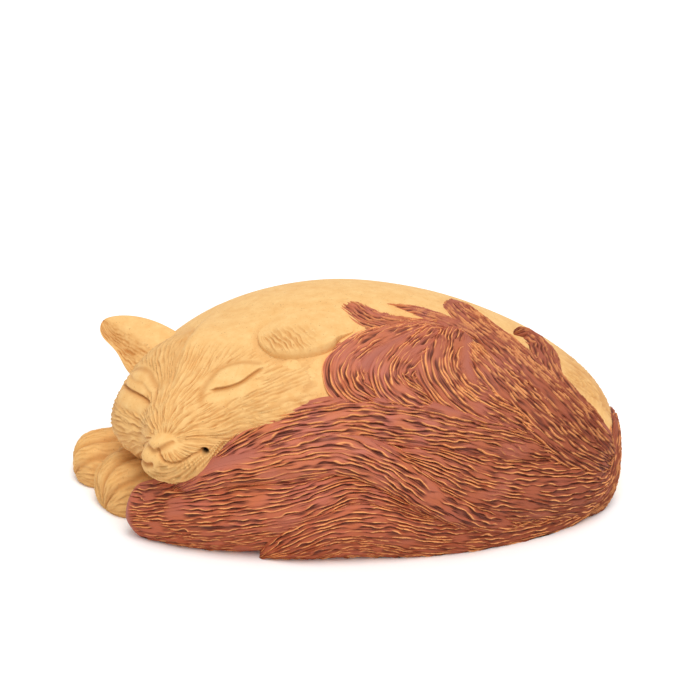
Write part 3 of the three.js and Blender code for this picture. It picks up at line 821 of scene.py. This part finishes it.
# The head: its bare form, then along each ray the face's relief, the hair and the two vent holes are added.
def makeHead():
    head = {"rings": 160, "around": 600, "pole": [0.0, -0.82, -0.57], "hold": 27, "holdSoftness": 3,
            "ventReach": (0.85, 0.6), "ventDepth": 2.2, "lowest": 0.5}
    aim, reach = headRays(head)
    points = headCentre + aim * reach[..., None]
    local = (points - headCentre) @ headTurn
    x, y, z = local[..., 0], local[..., 1], local[..., 2]
    front = smoothStep(2, -4, y)
    lift, smooth, paintedShade, partingSide = faceRelief(x, z)

    chinArea = smoothStep(0.1, -0.1, z - np.interp(x, *zip(*chinEdge)))
    crownFade = np.where(partingSide < 0, smoothStep(9, 3, z), smoothStep(17, 8, z))
    rim = smoothStep(head["hold"] - 0.3, head["hold"] - 3, reach)
    # under the chin the rays only graze the skin and the grid is too wide there to carry hair
    gridStep = np.linalg.norm(np.gradient(points, axis=0), axis=-1)
    furred = front * (1 - smooth) * crownFade * rim * (1 - chinArea * smoothStep(0.25, 0.42, gridStep))
    chinWaves = 0.7 * (y - z) + faceHair["chinBow"] * x ** 2
    chinHair, _ = strands(x, chinWaves, faceHair["chinSeed"], faceHair["chinPitch"], faceHair["chinReach"])
    carved = fannedHair(x, z) * (1 - chinArea) + chinHair * chinArea - strokeShape["uncut"]
    lift += faceHair["depth"] * carved * furred * (1 + (faceHair["chinDepth"] - 1) * chinArea)
    # painted shade down in the fur strokes
    paintedShade = np.maximum(paintedShade, np.clip(0.1 - carved, 0, 1) * 0.8 * furred)

    # the vent holes: one mask sinks the dents and paints their dark inside as painted shade
    hole = np.zeros(x.shape)
    for vent in faceVents:
        away = np.linalg.norm(local - np.array(vent), axis=-1)
        nearest = away.min()
        beside = np.sqrt(np.clip(away ** 2 - nearest ** 2, 0, None))
        hole = np.maximum(hole, smoothStep(*head["ventReach"], beside))
    lift = lift * front - head["ventDepth"] * hole
    points = headCentre + aim * (reach + lift)[..., None]
    points[..., 2] = np.maximum(points[..., 2], head["lowest"])
    piece = ringMesh("head", points, {"paintedShade": paintedShade * front, "hole": hole})
    place(piece, buff, "buff_stoneware", "head_shell")


makeHead()


# Standing ear: a petal from its root to its tip, (root + axis u + width w(u) cos a + thickness t(u) sin a),
# with the lower half of its face dished and scored.
def makeLeftEar():
    ear = {"back": (-11.2, 1.6, 14.2), "front": (-18.3, -5, 4.4), "tip": (-26.2, -4.2, 16.6),
           "start": -0.35, "thickness": 2.0, "dish": 1.1, "waist": 0.33, "stations": 190, "around": 150,
           "hairDepth": 0.3, "hairPitch": 0.95, "hairReach": 2.6, "hairSeed": 307}
    back, front, tip = (np.array(ear[key], float) for key in ("back", "front", "tip"))
    root = (back + front) / 2
    axis = tip - root
    width = (back - front) / 2
    face = np.cross(width, axis)
    face /= np.linalg.norm(face)
    u = np.linspace(ear["start"], 1, ear["stations"] + 2)[1:-1, None]
    angle = np.linspace(0, 2 * np.pi, ear["around"], endpoint=False)[None, :]
    v = np.cos(angle)
    up = np.clip(u, 0, 1)
    half = np.clip(1 - up ** 2.3, 0, 1) ** 0.62
    half = half * (1 - ear["waist"] * bump(u, 0.5, 0.4) * smoothStep(0, -0.8, v))
    thick = ear["thickness"] * (1 - 0.55 * up) * np.clip(1 - up ** 6, 0, 1) ** 0.5
    onFace = np.clip(np.sin(angle) * 2, 0, 1)
    dish = ear["dish"] * bump(v, -0.5, 0.42) * smoothStep(-0.1, 0.3, u) * smoothStep(1.0, 0.7, u)
    run = u * np.linalg.norm(axis)
    scored = (v + 0 * u) * 6.3 + 1.5 * u
    carved, _ = strands(run + 0 * v, scored, ear["hairSeed"], ear["hairPitch"], ear["hairReach"])
    furred = smoothStep(0.15, -0.25, v) * onFace
    level = thick * np.sin(angle) - dish * onFace + ear["hairDepth"] * carved * furred
    local = (root + axis * u[..., None] + width * (half * v)[..., None] + face * level[..., None])
    points = headCentre + local @ headTurn.T
    # painted shade down in the strokes and in the dished face
    paintedShade = np.clip(-carved - 0.3, 0, 1) * 0.9 * furred + 0.25 * dish * onFace
    place(ringMesh("left_ear", points, {"paintedShade": paintedShade}), buff, "buff_stoneware", "ear_left")


# Folded ear: a lens along a path on the body. Its upper side runs out into the back and its lower edge
# stands proud, rise * ((1 - s) / 2)^1.3, with short strokes near the lower left.
def makeRightEar():
    ear = {"path": [(-0.335, 73, 4), (-0.29, 72, 6), (-0.21, 71.5, 7), (-0.11, 71.5, 6.6), (-0.03, 72, 4.6),
                    (0.03, 71, 2)],
           "rise": 1.7, "stations": 240, "across": 120, "sink": 1.2, "tipLength": 4,
           "bottomPoints": 6, "fineness": 500,
           "hairDepth": 0.28, "hairPitch": 0.85, "hairReach": 2.4, "hairSeed": 331}
    travelled, length, middle, halfWidth, aside = pathOverDome(
        ear["path"], bodyAxes, ear["fineness"], ear["stations"])
    tips = np.clip(np.minimum(travelled, length - travelled) / ear["tipLength"], 0, 1)
    halfWidth = halfWidth * np.sqrt(1 - (1 - tips) ** 2)
    s, onTop = roundSection(ear["across"], ear["bottomPoints"], len(travelled))
    skin = middle[:, None, :] + aside[:, None, :] * (s * halfWidth[:, None])[..., None]
    normal = domeNormal(skin, bodyAxes)
    for _ in range(12):  # settles the lens on to the skin of head and body
        skin = skin - normal * headDistance(skin)[..., None] * 0.8
    swell = np.clip(1 - (s + 1) / 2, 0, 1) ** 1.3 * smoothStep(-1.02, -0.78, s) * 1.25
    far = travelled[:, None] * np.ones_like(s)
    carved, _ = strands(
        0.5 * far - 4 * s, 0.8 * far + 3.2 * s, ear["hairSeed"], ear["hairPitch"], ear["hairReach"])
    furred = smoothStep(0.3, -0.3, s) * smoothStep(-0.95, -0.75, s)
    furred = furred * smoothStep(13, 6, far) * smoothStep(0, 3, far) * onTop
    proud = ear["rise"] * swell * tips[:, None] - ear["sink"] * smoothStep(0.9, 1.0, np.abs(s))
    rise = np.where(onTop, proud, -ear["sink"]) + ear["hairDepth"] * carved * furred
    points = skin + normal * rise[..., None]
    # painted shade down in the strokes
    paintedShade = np.clip(-carved - 0.3, 0, 1) * 0.85 * furred
    place(ringMesh("right_ear", points, {"paintedShade": paintedShade}), buff, "buff_stoneware", "ear_right")


makeLeftEar()
makeRightEar()


# Folded paws: centres from the middle line, half sizes, turn about Z, and the grooves between the toes as
# (bearing round the paw, depth).
forelegs = {
    "rear_foreleg": {
        "node": "foreleg_left", "centre": (-44.9, 2.4, 3.0), "half": (9.7, 7.7, 5.6), "turn": 10,
        "toes": [(-38, 0.4), (-8, 0.45), (22, 0.4)], "seed": 401},
    "front_foreleg": {
        "node": "foreleg_right", "centre": (-38.0, -7.4, 3.6), "half": (11.2, 8.0, 7.0), "turn": 34,
        "toes": [(-34, 0.4), (-4, 0.45), (26, 0.4)], "seed": 419},
}
pawClay = {"rings": 150, "around": 170, "squareness": 2.7, "toeWidth": 5.5, "swell": 0.3, "lowest": 0.02,
           "wrinkleDepth": 0.28, "wrinklePitch": 1.0, "wrinkleReach": 2.8}


# A paw: an egg squared off a little, each direction divided by its own (|x|^p + |y|^p + |z|^p)^(1/p) and
# stretched to the half sizes. Toe grooves run back along it and fine wrinkles run across.
def makeForeleg(name, paw):
    # the poles are the toe end, which points along -x before the turn, and the hidden end
    polar = np.linspace(0, np.pi, pawClay["rings"] + 2)[1:-1, None]
    angle = np.linspace(0, 2 * np.pi, pawClay["around"], endpoint=False)[None, :]
    px = -np.cos(polar) + 0 * angle
    py = np.sin(polar) * np.cos(angle)
    pz = np.sin(polar) * np.sin(angle)
    power = pawClay["squareness"]
    size = (np.abs(px) ** power + np.abs(py) ** power + np.abs(pz) ** power) ** (1 / power)
    half = np.array(paw["half"])
    shape = np.stack([px, py, pz], -1) / size[..., None] * half
    outward = shape / half ** 2
    outward /= np.linalg.norm(outward, axis=-1, keepdims=True)
    lift = np.zeros(px.shape)
    # painted shade in the toe grooves and the wrinkles
    paintedShade = np.zeros(px.shape)
    bearing = np.degrees(np.arctan2(shape[..., 1], shape[..., 2] + 4))
    for toe, depth in paw["toes"]:
        wander = toe + 6 * latticeNoise(shape[..., 0] / 6, shape[..., 0] * 0 + toe, paw["seed"])
        cut = bump(bearing, wander, pawClay["toeWidth"]) * smoothStep(5, -3, shape[..., 0])
        lift -= depth * 1.2 * cut
        paintedShade = np.maximum(paintedShade, cut * 0.6)
    wrinkleAlong = shape[..., 0] * 0.7 + shape[..., 2]
    wrinkleAcross = bearing * 0.13 + 0.2 * shape[..., 0]
    pitch, reach = pawClay["wrinklePitch"], pawClay["wrinkleReach"]
    carved, _ = strands(wrinkleAlong, wrinkleAcross, paw["seed"] + 1, pitch, reach)
    pressed = latticeNoise(shape[..., 0] / 5, shape[..., 1] / 5, paw["seed"] + 2)
    lift += pawClay["wrinkleDepth"] * carved + pawClay["swell"] * pressed
    paintedShade = np.maximum(paintedShade, np.clip(-carved - 0.4, 0, 1) * 0.6)
    shape = shape + outward * lift[..., None]
    turn = np.radians(paw["turn"])
    points = np.stack([
        shape[..., 0] * np.cos(turn) - shape[..., 1] * np.sin(turn),
        shape[..., 0] * np.sin(turn) + shape[..., 1] * np.cos(turn),
        shape[..., 2]], -1) + np.array(paw["centre"]) + [0, spineY, 0]
    points[..., 2] = np.maximum(points[..., 2], pawClay["lowest"])
    points[..., 0] = np.maximum(points[..., 0], wholeLow[0])
    place(ringMesh(name, points, {"paintedShade": paintedShade}), buff, "buff_stoneware", paw["node"])


for pawName, paw in forelegs.items():
    makeForeleg(pawName, paw)


studio = {"aim": (0.9, 10.7, 23.0), "distance": 400, "elevation": 25, "lens": 102.9, "sensor": 36,
          "floorSize": 6000, "paper": "#FBFBFB", "sky": 0.72, "keyPower": 2.0, "keySoftness": 35,
          "keyFrom": (0.12, -0.33, 0.93)}


# A white paper floor, an even sky, one wide soft lamp high in front, and the camera, which stands at
# aim + distance * (0, -cos elevation, sin elevation).
def makeStudio():
    scene = bpy.context.scene
    scene.view_settings.view_transform = "Standard"
    tilt = math.radians(studio["elevation"])
    aim = np.array(studio["aim"]) + [0, spineY, 0]
    camera = bpy.data.cameras.new("camera")
    camera.sensor_width = studio["sensor"]
    camera.lens = studio["lens"]
    camera.clip_start = 0.01
    camera.clip_end = 20
    viewer = bpy.data.objects.new("camera", camera)
    viewer.location = (aim + studio["distance"] * np.array([0, -math.cos(tilt), math.sin(tilt)])) * mm
    viewer.rotation_euler = (math.pi / 2 - tilt, 0, 0)
    scene.collection.objects.link(viewer)
    scene.camera = viewer

    half = studio["floorSize"] / 2 * mm
    mesh = bpy.data.meshes.new("floor")
    corners = [(-half, -half, 0), (half, -half, 0), (half, half, 0), (-half, half, 0)]
    mesh.from_pydata(corners, [], [(0, 1, 2, 3)])
    floor = bpy.data.objects.new("floor", mesh)
    scene.collection.objects.link(floor)
    material, tree = newMaterial("white_paper_sweep")
    shader = addNode(tree, "ShaderNodeBsdfPrincipled", {
        "Base Color": hexToLinear(studio["paper"]), "Roughness": 0.9})
    addNode(tree, "ShaderNodeOutputMaterial", {"Surface": shader.outputs["BSDF"]})
    mesh.materials.append(material)

    world = bpy.data.worlds.new("studio")
    world.use_nodes = True
    world.node_tree.nodes.clear()
    glow = addNode(world.node_tree, "ShaderNodeBackground", {
        "Color": (1, 1, 1, 1), "Strength": studio["sky"]})
    addNode(world.node_tree, "ShaderNodeOutputWorld", {"Surface": glow.outputs["Background"]})
    scene.world = world

    lamp = bpy.data.lights.new("window_softbox", "SUN")
    lamp.energy = studio["keyPower"]
    lamp.angle = math.radians(studio["keySoftness"])
    window = bpy.data.objects.new("window_softbox", lamp)
    east, north, height = studio["keyFrom"]
    lean = math.atan2(math.hypot(east, north), height)
    window.rotation_euler = (lean, 0, math.atan2(north, east) + math.pi / 2)
    scene.collection.objects.link(window)


makeStudio()
print("studio ready")
